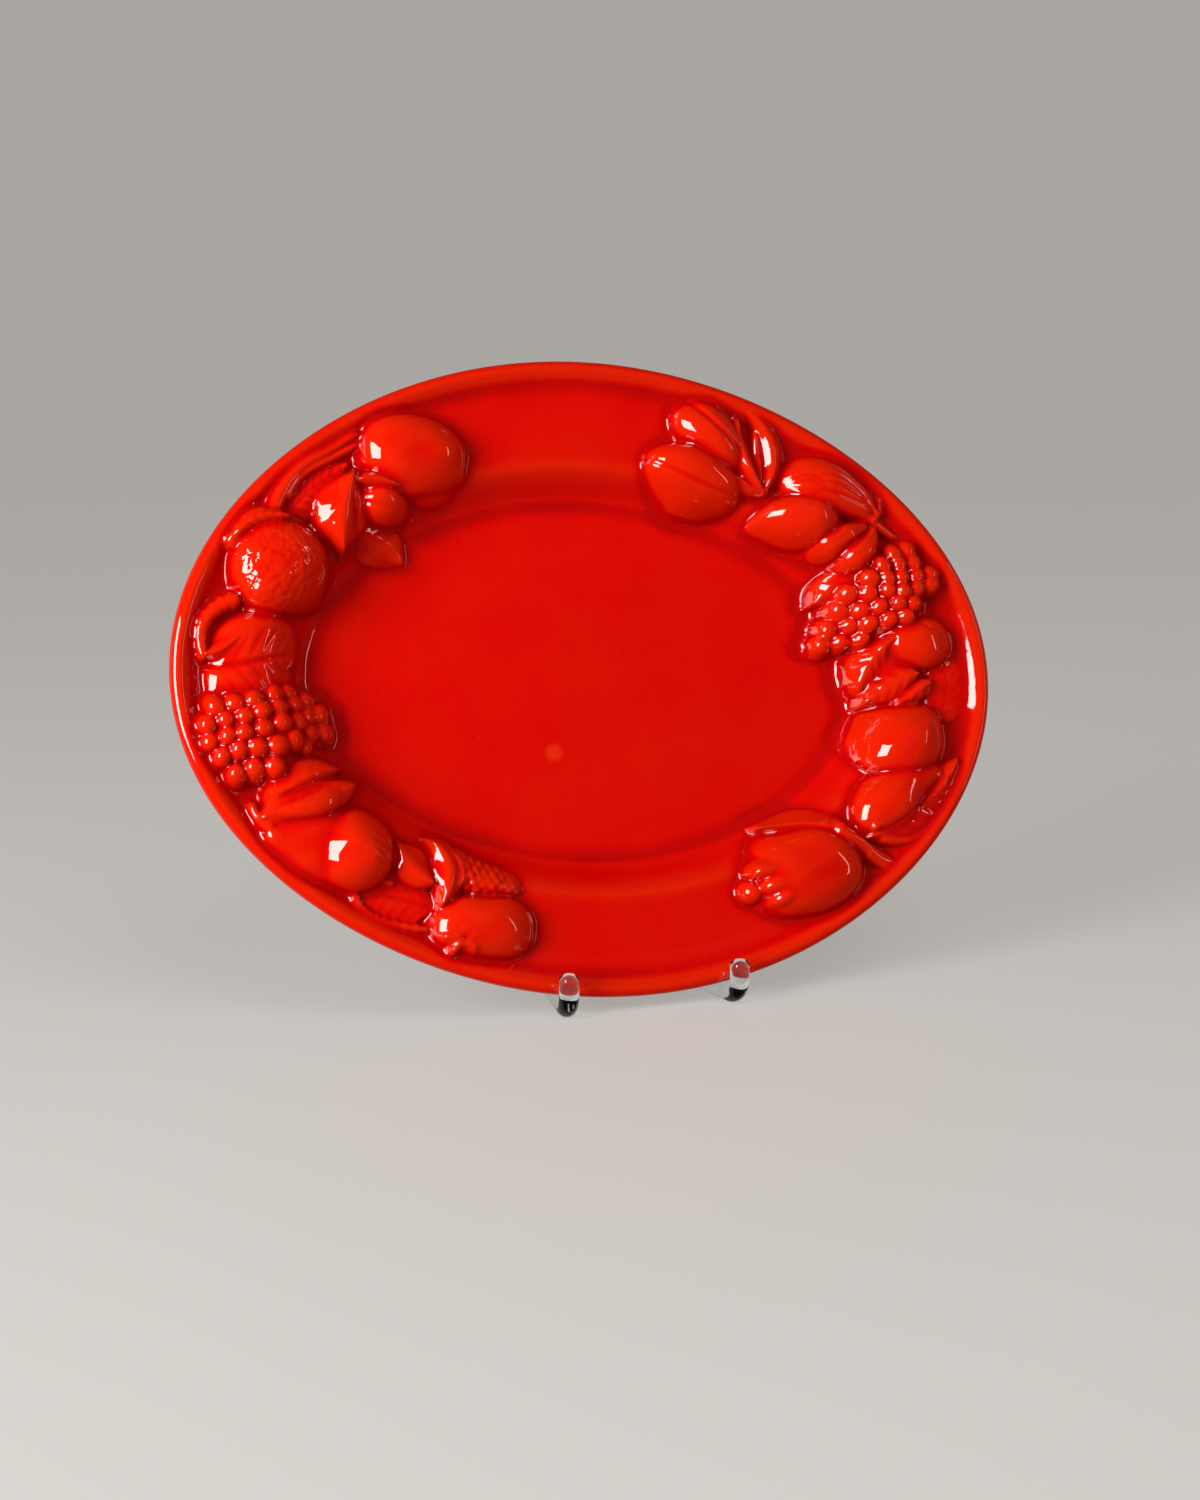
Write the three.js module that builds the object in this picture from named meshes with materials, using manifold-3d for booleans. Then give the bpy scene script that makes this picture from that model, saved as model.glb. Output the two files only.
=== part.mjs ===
// Oval plate of red glazed earthenware with fruit, nuts, vine leaves and grapes in high relief on
// the left and right of its border, leaning back in a clear stand of two bent rods and two bars.
// Millimetres, +Z up, the plate faces -Y.

import * as THREE from "three";
import { mergeVertices } from "three/addons/utils/BufferGeometryUtils.js";
import Module from "manifold-3d";

const wasm = await Module();
wasm.setup();

const DEGREE = Math.PI / 180;

// Plate outline: half length, half height, the slight four-cornered waver of its edge
const HALF_LENGTH = 204.2;
const HALF_HEIGHT = 151.9;
const WAVER = 0.0076;
const WAVER_TURN = 7.7 * DEGREE;
const AROUND = 54;

// Plate stance: leaning back in the stand, with its right end a little low
const TILT = 15 * DEGREE;
const ROLL = 4.2 * DEGREE;

// Plate section: inward distance from the edge, then height above the plane of the rim
const FLOOR_EDGE = 65;
const FLOOR = -25;
const BACK = -33.5;
const FOOT = -36.5;
const FRONT_SECTION = [
  [FLOOR_EDGE, -24], [57, -16.2], [49, -9.6], [14, -7.6], [7.5, -2], [4, 0], [1.3, -1.4],
];
const BACK_SECTION = [
  [0, -4.2], [2, -7.6], [8, -10], [47, -19], [60, -31], [68, BACK], [70, FOOT], [78, FOOT], [80, BACK],
];

// Mould line inside the wall of the plate, below which the relief is cut away
const ROOT_SECTION = [[FLOOR_EDGE, -27.5], [49, -13.6], [14, -11], [7, -5.6]];
const ROOT_FLOOR = -28;
const MOULD_TOP = 40;
const SLIVER = 0.25;

// Buried skirt below each moulding: its depth, and how fully it keeps the moulding's width
const SKIRT = 26;
const SKIRT_STEEP = 2;
const SKIRT_FULL = 1.6;
const SKIRT_TURN = -0.55;
const SKIRT_TOE = 1.15;

// Points and crowns: how sharply a leaf narrows and rises, how much a swelling thins the other end
const LEAF_POINT = 1.2;
const LEAF_RISE = 1.6;
const SWELL_EASE = 0.5;
const TINY = 1e-6;

// Facets round and along each kind of moulding
const FRUIT_FACETS = [12, 6];
const LEAF_FACETS = [8, 5];
const GRAPE_FACETS = [6, 4];

// Stand: bent rods standing either side of a middle line to the right of the plate's centre
const ROD_RADIUS = 4.75;
const ROD_SIDES = 12;
const STAND_OFFSET = 11.3;
const HOOK_SPREAD = 42.8;
const HOOK_HEIGHT = 23;
const TOE_IN = 7.5 * DEGREE;
const HOOK_BEND = 9;
const REAR_BEND = 14;
const REAR_CORNER = 122.7;
const STRUT_LEAN = 19.7 * DEGREE;
const STRUT_LENGTH = 138.2;
const BEND_STEPS = 4;
const DOME_FLATTEN = 0.7;
const DOME_RINGS = 6;
const GAP = 0.3;
const GROUND_BAR_BACK = 107;
const STRUT_BAR_UP = 92;

// Where the middle of the rim plane stands from the line between the two hooks
const PLATE_BACK = 43.6;
const PLATE_UP = 156;

// Deep red glaze and clear plastic
const GLAZE = new THREE.MeshStandardMaterial({ color: 0xd01005, roughness: 0.12 });
GLAZE.name = "red glaze";
const CLEAR = new THREE.MeshStandardMaterial({
  color: 0xe8eef0, roughness: 0.05, transparent: true, opacity: 0.35,
});
CLEAR.name = "clear plastic";

// Round fruit: middle, half sizes, turn in degrees, height of the summit, height of the outline
const ROUND_FRUIT = {
  peach: { at: [-92, 101], half: [26, 20.5], turn: -10, top: 10, base: -8 },
  cherryPlum: { at: [-103, 79], half: [12.5, 11], turn: -30, top: 4, base: -10 },
  orange: { at: [-154, 48], half: [23.5, 23], turn: 0, top: 12, base: -8 },
  appleBelow: { at: [-60, -119], half: [24.5, 15], turn: -3, top: 6, base: -8 },
  hazelLow: { at: [51, 100], half: [26.5, 15], turn: -23, top: 8, base: -10 },
  darkPlum: { at: [173, 22], half: [16.5, 13.5], turn: 12, top: 3, base: -8 },
  quince: { at: [154, -27], half: [24.5, 19.5], turn: 5, top: 10, base: -9 },
  pomegranate: { at: [106, -95], half: [28.5, 20.5], turn: 14, top: 10, base: -9 },
  crownTip: { at: [73, -103], half: [7, 6], turn: 20, top: -3, base: -14 },
  crownSide: { at: [88, -106], half: [6, 7], turn: 20, top: 2, base: -10 },
};

// Long fruit: ends, half width, swelling towards the far end, summit and outline heights
const LONG_FRUIT = {
  pear: { from: [-168, -68], to: [-105, -88], half: 19.5, swell: 0.62, top: 10, base: -8 },
  hazelHigh: { from: [42, 135], to: [76, 104], half: 13.5, swell: -0.15, top: 8, base: -8 },
  almond: { from: [76, 79], to: [122, 73], half: 14, swell: 0.2, top: 7, base: -10 },
  fig: { from: [98, 103], to: [149, 87], half: 14.5, swell: 0.1, top: 6, base: -8 },
  berry: { from: [-75, -94], to: [-37, -102], half: 9, swell: -0.35, top: 0, base: -12 },
  leafLobe: { from: [138, -75], to: [174, -42], half: 11.5, swell: 0, top: 4, base: -9 },
};

// Leaves: base, bend, tip, half width, height of the midrib, height of the edge
const LEAVES = [
  { from: [-121, 95], via: [-122, 78], to: [-123, 56], half: 10, rib: 2, edge: -3 },
  { from: [-117, 67], via: [-106, 64], to: [-93, 54], half: 8, rib: -9, edge: -12 },
  { from: [-158, 75], via: [-154, 98], to: [-119, 113], half: 7.5, rib: -1, edge: -4 },
  { from: [-152, 72], via: [-142, 88], to: [-126, 101], half: 7, rib: -4, edge: -6 },
  { from: [-178, 61], via: [-170, 70], to: [-152, 71], half: 5, rib: 6, edge: 1 },
  { from: [-150, 18], via: [-168, 22], to: [-193, 28], half: 9, rib: 0, edge: -4 },
  { from: [-152, 12], via: [-172, 10], to: [-192, -4], half: 10, rib: 2, edge: -3 },
  { from: [-153, 8], via: [-164, -2], to: [-168, -18], half: 9, rib: 3, edge: -1 },
  { from: [-160, -64], via: [-150, -50], to: [-135, -45], half: 7, rib: 3, edge: -3 },
  { from: [-157, -68], via: [-140, -64], to: [-122, -52], half: 7, rib: 6, edge: 0 },
  { from: [-84, -104], via: [-103, -107], to: [-123, -106], half: 10, rib: -4, edge: -6 },
  { from: [-98, -81], via: [-95, -92], to: [-84, -101], half: 6.5, rib: 0, edge: -5 },
  { from: [-84, -84], via: [-82, -93], to: [-73, -100], half: 6, rib: -1, edge: -6 },
  { from: [85, 93], via: [74, 112], to: [76, 129], half: 4.5, rib: 0, edge: -4 },
  { from: [85, 93], via: [97, 114], to: [80, 133], half: 5, rib: -1, edge: -5 },
  { from: [132, 101], via: [150, 101], to: [150, 84], half: 5, rib: -2, edge: -6 },
  { from: [144, 81], via: [130, 73], to: [112, 64], half: 6.5, rib: -2, edge: -6 },
  { from: [144, 80], via: [139, 66], to: [126, 53], half: 7, rib: -1, edge: -5 },
  { from: [144, 48], via: [132, 50], to: [118, 42], half: 8, rib: -4, edge: -8 },
  { from: [158, 20], via: [144, 12], to: [136, -8], half: 9, rib: 1, edge: -6 },
  { from: [160, 12], via: [154, -2], to: [160, -12], half: 8, rib: 0, edge: -5 },
  { from: [163, 2], via: [178, 4], to: [194, -12], half: 11, rib: -5, edge: -6.5 },
  { from: [140, -77], via: [168, -66], to: [190, -38], half: 13, rib: -2, edge: -6 },
  { from: [139, -84], via: [122, -70], to: [87, -73], half: 6.5, rib: 0, edge: -10 },
];

// Stalks: start, bend, end, half thickness, height
const STALKS = [
  { from: [-172, -62], via: [-168, -70], to: [-158, -73], half: 3, rib: 0, edge: -4 },
  { from: [143, 82], via: [152, 80], to: [157, 71], half: 2.6, rib: -3, edge: -6 },
  { from: [126, -79], via: [138, -88], to: [152, -92], half: 4, rib: -2, edge: -6 },
  { from: [76, 104], via: [82, 98], to: [90, 92], half: 3, rib: -3, edge: -7 },
];

// Grapes: bunches filled from a turned triangular lattice, domed towards their middles
const GRAPE_RADIUS = 4.9;
const GRAPE_PITCH = 9.2;
const BUNCH_REACH = 6;
const BUNCH_INSET = 2;
const BUNCHES = [
  { at: [-170, -31], half: [22.5, 23], lean: 20, rows: 13, crown: 6, fall: 8 },
  { at: [-142, -23], half: [12.5, 10.5], lean: -20, rows: 13, crown: -4, fall: 5 },
  { at: [151, 40], half: [37, 22], lean: 32, rows: 8, crown: 5, fall: 8 },
];

// A closed solid from one geometry, with its shared corners merged and slivers dropped
function solid(geometry) {
  const plain = geometry.clone();
  plain.deleteAttribute("normal");
  plain.deleteAttribute("uv");
  const merged = mergeVertices(plain, 1e-4);
  const index = Array.from(merged.index.array);
  const corners = [];
  for (let i = 0; i < index.length; i += 3) {
    const [a, b, c] = index.slice(i, i + 3);
    if (a !== b && b !== c && c !== a) corners.push(a, b, c);
  }
  return new wasm.Manifold(new wasm.Mesh({
    numProp: 3,
    vertProperties: new Float32Array(merged.attributes.position.array),
    triVerts: new Uint32Array(corners),
  }));
}

// A named mesh from a finished solid
function meshOf(body, name, material) {
  const data = body.getMesh();
  const geometry = new THREE.BufferGeometry();
  geometry.setAttribute("position", new THREE.BufferAttribute(data.vertProperties, 3));
  geometry.setIndex(new THREE.BufferAttribute(data.triVerts, 1));
  geometry.computeVertexNormals();
  const mesh = new THREE.Mesh(geometry, material);
  mesh.name = name;
  return mesh;
}

// Every corner of a geometry moved by a rule
function reshape(geometry, rule) {
  const position = geometry.attributes.position;
  const point = new THREE.Vector3();
  for (let i = 0; i < position.count; i += 1) {
    point.fromBufferAttribute(position, i);
    const moved = rule(point);
    position.setXYZ(i, moved.x, moved.y, moved.z);
  }
  return geometry;
}

// A turned section laid out round the oval: the flange keeps its width, the floor keeps its shape
function ovalTurning(section) {
  const floorReach = HALF_LENGTH - FLOOR_EDGE;
  const floorRatio = (HALF_HEIGHT - FLOOR_EDGE) / floorReach;
  const profile = section.map(([reach, height]) => new THREE.Vector2(reach, height));
  return reshape(new THREE.LatheGeometry(profile, AROUND), (p) => {
    const reach = Math.hypot(p.x, p.z);
    const angle = Math.atan2(p.x, p.z);
    const wavered = 1 + WAVER * Math.cos(4 * (angle - WAVER_TURN));
    const across = reach > floorReach ? reach - HALF_LENGTH + HALF_HEIGHT : reach * floorRatio;
    const x = reach * wavered * Math.cos(angle);
    return new THREE.Vector3(x, across * wavered * Math.sin(angle), p.y);
  });
}

const reachOf = ([inward, height]) => [HALF_LENGTH - inward, height];

// The plate without its relief
function plainPlate() {
  const under = BACK_SECTION.map(reachOf).reverse();
  const over = FRONT_SECTION.map(reachOf).reverse();
  return solid(ovalTurning([[0, BACK], ...under, ...over, [0, FLOOR]]));
}

// The room the relief may fill: from inside the plate's wall upwards
function mouldRoom() {
  const under = ROOT_SECTION.map(reachOf);
  const edge = under[under.length - 1][0];
  return solid(ovalTurning([[0, ROOT_FLOOR], ...under, [edge, MOULD_TOP], [0, MOULD_TOP]]));
}

// Height and half width of the buried skirt, squared off below the moulding's outline
function skirtHeight(base, lift) {
  return base - SKIRT * Math.min(1, -SKIRT_STEEP * lift);
}

function skirtWidth(side, lift) {
  return lift > SKIRT_TURN ? Math.sign(side) : side * SKIRT_TOE;
}

// Round fruit: the upper half of a ball over a straight skirt
function roundFruit({ at, half, turn, top, base }, [sides, rings] = FRUIT_FACETS) {
  const ball = reshape(new THREE.SphereGeometry(1, sides, rings), (p) => {
    const ring = Math.hypot(p.x, p.z);
    const buried = p.y < 0 && ring > TINY;
    const spread = buried ? Math.min(1, SKIRT_FULL * ring) / ring : 1;
    const height = p.y < 0 ? skirtHeight(base, p.y) : base + (top - base) * p.y;
    return new THREE.Vector3(p.x * spread * half[0], -p.z * spread * half[1], height);
  });
  ball.rotateZ(turn * DEGREE);
  ball.translate(at[0], at[1], 0);
  return solid(ball);
}

// A shape drawn out along a bending line; section gives half width and height for each corner
function drawnOut(from, via, to, section, [sides, stations]) {
  const line = new THREE.QuadraticBezierCurve(
    new THREE.Vector2(...from), new THREE.Vector2(...via), new THREE.Vector2(...to));
  const ball = reshape(new THREE.SphereGeometry(1, sides, stations), (p) => {
    const along = (p.y + 1) / 2;
    const ring = Math.hypot(p.x, p.z);
    const side = ring > TINY ? p.x / ring : 0;
    const lift = ring > TINY ? p.z / ring : 0;
    const middle = line.getPoint(along);
    const ahead = line.getTangent(along);
    const [width, height] = section(along, side, lift, ring);
    return new THREE.Vector3(middle.x + ahead.y * width, middle.y - ahead.x * width, height);
  });
  return solid(ball);
}

// Pear, nut, fig and berry: a ball drawn out along its axis, fuller towards one end
function longFruit({ from, to, half, swell, top, base }) {
  const via = [(from[0] + to[0]) / 2, (from[1] + to[1]) / 2];
  return drawnOut(from, via, to, (along, side, lift, ring) => {
    const full = ring * (1 + swell * (2 * along - 1)) / (1 + Math.abs(swell) * SWELL_EASE);
    if (lift < 0) return [skirtWidth(side, lift) * half * full, skirtHeight(base, lift)];
    return [side * half * full, base + (top - base) * lift * Math.min(1, full)];
  }, FRUIT_FACETS);
}

// Leaf or stalk: pointed at both ends, highest along its midrib
function leaf({ from, via, to, half, rib, edge }) {
  return drawnOut(from, via, to, (along, side, lift, ring) => {
    const width = half * ring ** LEAF_POINT;
    if (lift < 0) return [skirtWidth(side, lift) * width, skirtHeight(edge, lift)];
    const slope = 1 - Math.abs(side);
    return [side * width, edge + (rib - edge) * slope * Math.min(1, ring * LEAF_RISE)];
  }, LEAF_FACETS);
}

// Bunch of grapes: one dome on each point of a turned triangular lattice inside an oval
function grapes({ at, half, lean, rows, crown, fall }) {
  const berries = [];
  const turn = lean * DEGREE;
  const rowTurn = rows * DEGREE - turn;
  for (let row = -BUNCH_REACH; row <= BUNCH_REACH; row += 1) {
    for (let column = -BUNCH_REACH; column <= BUNCH_REACH; column += 1) {
      const x = (column + (row % 2) / 2) * GRAPE_PITCH;
      const y = row * GRAPE_PITCH * Math.sqrt(0.75);
      const u = x * Math.cos(rowTurn) - y * Math.sin(rowTurn);
      const v = x * Math.sin(rowTurn) + y * Math.cos(rowTurn);
      const far = Math.hypot(u / (half[0] - BUNCH_INSET), v / (half[1] - BUNCH_INSET));
      if (far > 1) continue;
      const middle = [
        at[0] + u * Math.cos(turn) - v * Math.sin(turn), at[1] + u * Math.sin(turn) + v * Math.cos(turn)];
      const top = crown - fall * far * far;
      const berry = { at: middle, half: [GRAPE_RADIUS, GRAPE_RADIUS], turn: 0, top, base: top - GRAPE_RADIUS };
      berries.push(roundFruit(berry, GRAPE_FACETS));
    }
  }
  return berries;
}

// The whole plate: every part of the garlands joined to the plain plate
function reliefPlate() {
  const pieces = [
    ...Object.values(ROUND_FRUIT).map((fruit) => roundFruit(fruit)),
    ...Object.values(LONG_FRUIT).map(longFruit),
    ...LEAVES.map(leaf),
    ...STALKS.map(leaf),
    ...BUNCHES.flatMap(grapes),
  ];
  const garlands = pieces.reduce((joined, piece) => joined.add(piece));
  return plainPlate().add(garlands.intersect(mouldRoom())).simplify(SLIVER);
}

// Centre line of a bent rod: corners given one by one, each passed straight to the next
class BentLine extends THREE.Curve {
  constructor(corners) {
    super();
    this.corners = corners;
  }

  getPointAt(share, target = new THREE.Vector3()) {
    return target.copy(this.corners[Math.round(share * (this.corners.length - 1))]);
  }

  getTangentAt(share, target = new THREE.Vector3()) {
    const here = Math.round(share * (this.corners.length - 1));
    const last = this.corners.length - 1;
    const after = this.corners[Math.min(here + 1, last)].clone().sub(this.corners[Math.min(here, last - 1)]);
    const before = this.corners[Math.max(here, 1)].clone().sub(this.corners[Math.max(here - 1, 0)]);
    return target.copy(after.normalize().add(before.normalize()).normalize());
  }
}

// Points along a bend in the upright plane, from one angle to another about a middle
function bend(middleBack, middleUp, radius, start, sweep) {
  return Array.from({ length: BEND_STEPS + 1 }, (_, step) => {
    const angle = start + sweep * step / BEND_STEPS;
    return new THREE.Vector3(
      0, middleBack + radius * Math.cos(angle), middleUp + radius * Math.sin(angle));
  });
}

// One rod in its own upright plane: hook, ground arm and strut, with rounded ends
function bentRod(radius) {
  const bodyEnd = HOOK_HEIGHT - ROD_RADIUS * DOME_FLATTEN;
  const rearSweep = Math.PI / 2 + STRUT_LEAN;
  const arms = [
    new THREE.Vector3(0, 0, bodyEnd),
    ...bend(HOOK_BEND, ROD_RADIUS + HOOK_BEND, HOOK_BEND, Math.PI, Math.PI / 2),
    ...bend(REAR_CORNER - REAR_BEND, ROD_RADIUS + REAR_BEND, REAR_BEND, -Math.PI / 2, rearSweep),
  ];
  const strutFoot = arms[arms.length - 1];
  const lean = new THREE.Vector3(0, -Math.sin(STRUT_LEAN), Math.cos(STRUT_LEAN));
  const strutTop = strutFoot.clone().addScaledVector(lean, STRUT_LENGTH - REAR_BEND);
  const line = new BentLine([...arms, strutTop]);
  const rim = Array.from({ length: ROD_SIDES }, (_, side) => {
    const angle = (side + 0.5) * 2 * Math.PI / ROD_SIDES;
    const reach = radius / Math.cos(Math.PI / ROD_SIDES);
    return new THREE.Vector2(reach * Math.cos(angle), reach * Math.sin(angle));
  });
  const rod = solid(new THREE.ExtrudeGeometry(
    new THREE.Shape(rim), { steps: line.corners.length - 1, extrudePath: line }));
  const hookDome = new THREE.SphereGeometry(radius, ROD_SIDES, DOME_RINGS);
  hookDome.rotateX(Math.PI / 2).scale(1, 1, DOME_FLATTEN).translate(0, 0, bodyEnd);
  const strutDome = new THREE.SphereGeometry(radius, ROD_SIDES, DOME_RINGS);
  strutDome.rotateX(Math.PI / 2 + STRUT_LEAN).translate(0, strutTop.y, strutTop.z);
  return { body: rod.add(solid(hookDome)).add(solid(strutDome)), strutFoot, lean };
}

// A rod set at its side of the stand, its arm turned in towards the rear
function rodAtSide(body, side) {
  return body.rotate([0, 0, side * TOE_IN / DEGREE]).translate([side * HOOK_SPREAD, 0, 0]);
}

// A bar across the stand, coped round the two rods
function crossBar(back, up) {
  const bar = new THREE.CylinderGeometry(ROD_RADIUS, ROD_RADIUS, 2 * HOOK_SPREAD, ROD_SIDES);
  bar.rotateY(Math.PI / ROD_SIDES).rotateZ(Math.PI / 2).translate(0, back, up);
  const thick = bentRod(ROD_RADIUS + GAP).body;
  const middle = solid(bar).subtract(rodAtSide(thick, -1)).subtract(rodAtSide(thick, 1)).decompose();
  return middle.reduce((best, piece) => (piece.volume() > best.volume() ? piece : best));
}

const rod = bentRod(ROD_RADIUS);
const stand = new THREE.Group();
stand.name = "stand";
stand.add(meshOf(rodAtSide(rod.body, -1), "stand_rod_left", CLEAR));
stand.add(meshOf(rodAtSide(rod.body, 1), "stand_rod_right", CLEAR));
stand.add(meshOf(crossBar(GROUND_BAR_BACK, ROD_RADIUS), "stand_bar_low", CLEAR));
const barFoot = rod.strutFoot.clone().addScaledVector(rod.lean, STRUT_BAR_UP);
stand.add(meshOf(crossBar(barFoot.y * Math.cos(TOE_IN), barFoot.z), "stand_bar_high", CLEAR));

const plate = meshOf(reliefPlate(), "plate", GLAZE);
plate.rotation.z = -ROLL;
const leaning = new THREE.Group();
leaning.rotation.x = Math.PI / 2 - TILT;
leaning.position.set(-STAND_OFFSET, PLATE_BACK, PLATE_UP);
leaning.add(plate);

const whole = new THREE.Group();
whole.name = "plate_on_stand";
whole.add(stand, leaning);
whole.updateMatrixWorld(true);
const box = new THREE.Box3().setFromObject(whole, true);
const middle = box.getCenter(new THREE.Vector3());
whole.position.set(-middle.x, -middle.y, -box.min.z);

export default whole;
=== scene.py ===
"""Oval red glazed plate with fruit in high relief on its border, leaning in a clear bent-rod stand."""

import math

import bpy
import numpy as np
from mathutils import Matrix, Vector


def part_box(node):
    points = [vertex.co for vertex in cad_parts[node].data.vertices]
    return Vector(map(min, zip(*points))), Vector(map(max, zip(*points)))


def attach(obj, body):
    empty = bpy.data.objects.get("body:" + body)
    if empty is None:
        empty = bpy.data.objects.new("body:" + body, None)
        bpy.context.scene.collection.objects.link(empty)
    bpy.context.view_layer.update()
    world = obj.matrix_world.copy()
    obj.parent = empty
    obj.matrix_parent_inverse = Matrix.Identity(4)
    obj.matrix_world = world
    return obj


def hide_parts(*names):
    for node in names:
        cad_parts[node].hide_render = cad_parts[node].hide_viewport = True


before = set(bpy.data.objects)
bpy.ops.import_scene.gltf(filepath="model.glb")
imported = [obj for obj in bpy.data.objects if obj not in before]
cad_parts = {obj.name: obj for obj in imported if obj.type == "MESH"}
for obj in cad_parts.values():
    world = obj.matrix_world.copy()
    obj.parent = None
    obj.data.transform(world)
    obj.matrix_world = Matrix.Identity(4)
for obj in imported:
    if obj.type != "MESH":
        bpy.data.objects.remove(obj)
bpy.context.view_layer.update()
MM = 0.001

# Plate outline and stance, millimetres and degrees
HALF_LENGTH = 204.2
HALF_HEIGHT = 151.9
WAVER = 0.0076
WAVES = 4
WAVER_TURN = math.radians(7.7)
TILT = math.radians(15)
ROLL = math.radians(4.2)

# Plate section: inward distance from the edge, then height above the plane of the rim
FLOOR_EDGE = 65.0
RIM_RADIUS = 4.2
RIM_STEPS = 9
BACK = -33.5
FOOT = -36.5
FRONT_SECTION = [
    (4.2, 0.0), (6.2, -0.7), (8.2, -2.4), (10.5, -4.6), (14, -6.6), (20, -7.8), (30, -8.6), (40, -9.1),
    (48, -9.6), (50.5, -10.6), (54.5, -14.0), (59.5, -18.9), (63, -21.9), (66.5, -23.8), (71, -24.7),
    (96, -25.2),
]
BACK_SECTION = [
    (4.2, -8.4), (8, -9.8), (20, -12.6), (34, -15.8), (46, -18.6), (50, -20.6), (60, -30.6), (64, -32.8),
    (68.6, BACK), (69.6, BACK - 0.8), (70.4, FOOT + 0.6), (71.4, FOOT), (76.6, FOOT), (77.6, FOOT + 0.6),
    (78.4, BACK - 0.6), (79.6, BACK), (100, BACK),
]
SECTION_SOFTNESS = 1.1
SECTION_STEP = 0.2
SECTION_REACH = 3.5

# Fineness of the plate's mesh: spacing of the rings by zone, and of the points along the border
RING_ZONES = [(4.2, 10.0, 1.45), (10.0, 63.0, 0.78), (63.0, 92.0, 1.7)]
FRUIT_STEP = 0.9
PLAIN_STEP = 5.0
MIDDLE_OF_BORDER = 35.0
FRUIT_ARCS = [(math.radians(-70), math.radians(83)), (math.radians(111), math.radians(262))]
TRIAL_STEPS = 2000
COARSER = 4

# Coarser rings: shares of the floor's reach, inward distances on the back, shares of the rest inside
FLOOR_SHARES = np.linspace(0.12, 0.94, 7)
BACK_RINGS = [6, 9, 14, 20, 27, 34, 40, 45, 48, 51, 55, 59, 62, 65, 68.2, 69.2, 70, 70.8, 72, 76, 77.2,
              78, 78.8, 80, 84, 100]
BACK_SHARES = np.array([0.7, 0.35])

# Relief grid: its step, its margin round the plate, and the depth where nothing lies on it
GRID_STEP = 0.4
GRID_MARGIN = 4
DEEP = -60.0

# Domes: where the straight draft begins, how full they are, and the share of a stated height they reach
DRAFT_AT = 0.93
FULLNESS = 2.12
STANDING = 0.92

# Margin of the patch that each kind of form is drawn on, as a multiple of its half width
FRUIT_PATCH = 1.5
LONG_PATCH = 1.8
LEAF_PATCH = 2.2
STALK_PATCH = 3
CREASE_PATCH = 4

# Bending forms: steps along the axis, least bluntness of an end, and its reach past the axis
SPINE_STEPS = 48
LEAST_BLUNT = 0.02
END_REACH = 2.0

# Leaves: fall from rib to edge, draft past the edge, least width, midrib, and slant and fade of the veins
LEAF_FALL = 0.85
EDGE_DRAFT = 2.4
LEAST_LEAF = 0.5
LEAF_TIP = 1e-4
MIDRIB_WIDTH = 0.9
VEIN_SLANT = 0.9
VEIN_FADE = 0.7

# Stalks and creases: taper, spacing of the teeth on a rolled edge, and where a crease fades
STALK_TAPER = 0.35
TEETH_GAP = 4.2
CREASE_ENDS = (0.02, 0.98)

# Grapes and berry beads: how far they stray, stand up and sink in, and the form of the whole berry
GRAPE_STRAY = 0.55
GRAPE_RISE = 1
GRAPE_SINK = 0.9
BEAD_FILL = 0.5
BEAD_GAP = 3.2
BEAD_STRAY = 0.5
BEAD_SINK = 1.8
BERRY_TAPER = 0.45
BERRY_CROWN = 1.6
BERRY_FALL = 5.5
BERRY_ROUNDING = 0.5

# Pits in the orange's peel
PIT_LEAST = 0.1
PIT_DEPTH = 0.42
PIT_WIDTH = 1.15
PEEL_FADE = 4

# Clay and glaze between the forms, and the unevenness of a hand-pressed plate
GLAZE_FILL = 1.3
FLANGE = -9.0
FILL_REACH = 2.0
FILL_DEPTH = 7.0
FILL_ROUNDS = 3
LIE_SOFTNESS = 10.0
OUTLINE_DRIFT = 0.6
HEIGHT_DRIFT = 0.16
HEIGHT_DRIFT_SCALE = 2.3

# Crests, where the glaze runs thin and is painted lighter as light, hollows painted darker as shade: blur
# they stand out from, share kept in hollows, value on the rim
CREST_BLUR = 4
HOLLOW_SHARE = 0.4
RIM_CREST = 0.35

# Glaze colours: pooled glaze with painted shade in the hollows, over the flat, thin glaze with painted
# light over the crests, and a pale spot of painted reflection on the floor
POOLED_SHADED = (0.30, 0.0004, 0.0004, 1)
EVEN = (0.405, 0.0007, 0.0001, 1)
THIN_LIT = (0.44, 0.0075, 0.0003, 1)
EVEN_AT = 0.25
THIN_LIT_AT = 0.95
# Painted reflection: a pale spot on the well floor, its colour, size and place
PAINTED_REFLECTION = (0.46, 0.0125, 0.0015, 1)
PAINTED_REFLECTION_RADIUS = 0.0052
PAINTED_REFLECTION_CORE = 0.5
PAINTED_REFLECTION_AT = (-17 * MM, -35 * MM, -25 * MM)

# Glaze surface: its clouds, grain, dark specks, gloss, soft waves and pitted peel
CLOUD_SCALE = 22.0
CLOUD_DETAIL = 3.0
CLOUD_SHARE = 0.5
GRAIN_SCALE = 650.0
GRAIN_DETAIL = 1.0
GRAIN_SHARE = 0.22
SPECK_SCALE = 620.0
SPECK_DETAIL = 0.0
SPECK_RANGE = (0.70, 0.80)
SPECK_SHARE = -0.16
GLAZE_ROUGHNESS = (0.025, 0.06)
GLAZE_IOR = 1.52
GLAZE_SPECULAR = 0.5
GLAZE_TINT = (1.0, 0.8, 0.74, 1)
WAVE_SCALE = 90.0
WAVE_DETAIL = 2.0
WAVE_STRENGTH = 0.35
WAVE_HEIGHT = 0.0006
PEEL_SCALE = 330.0
PEEL_STRENGTH = 0.45
PEEL_HEIGHT = 0.0011

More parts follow.
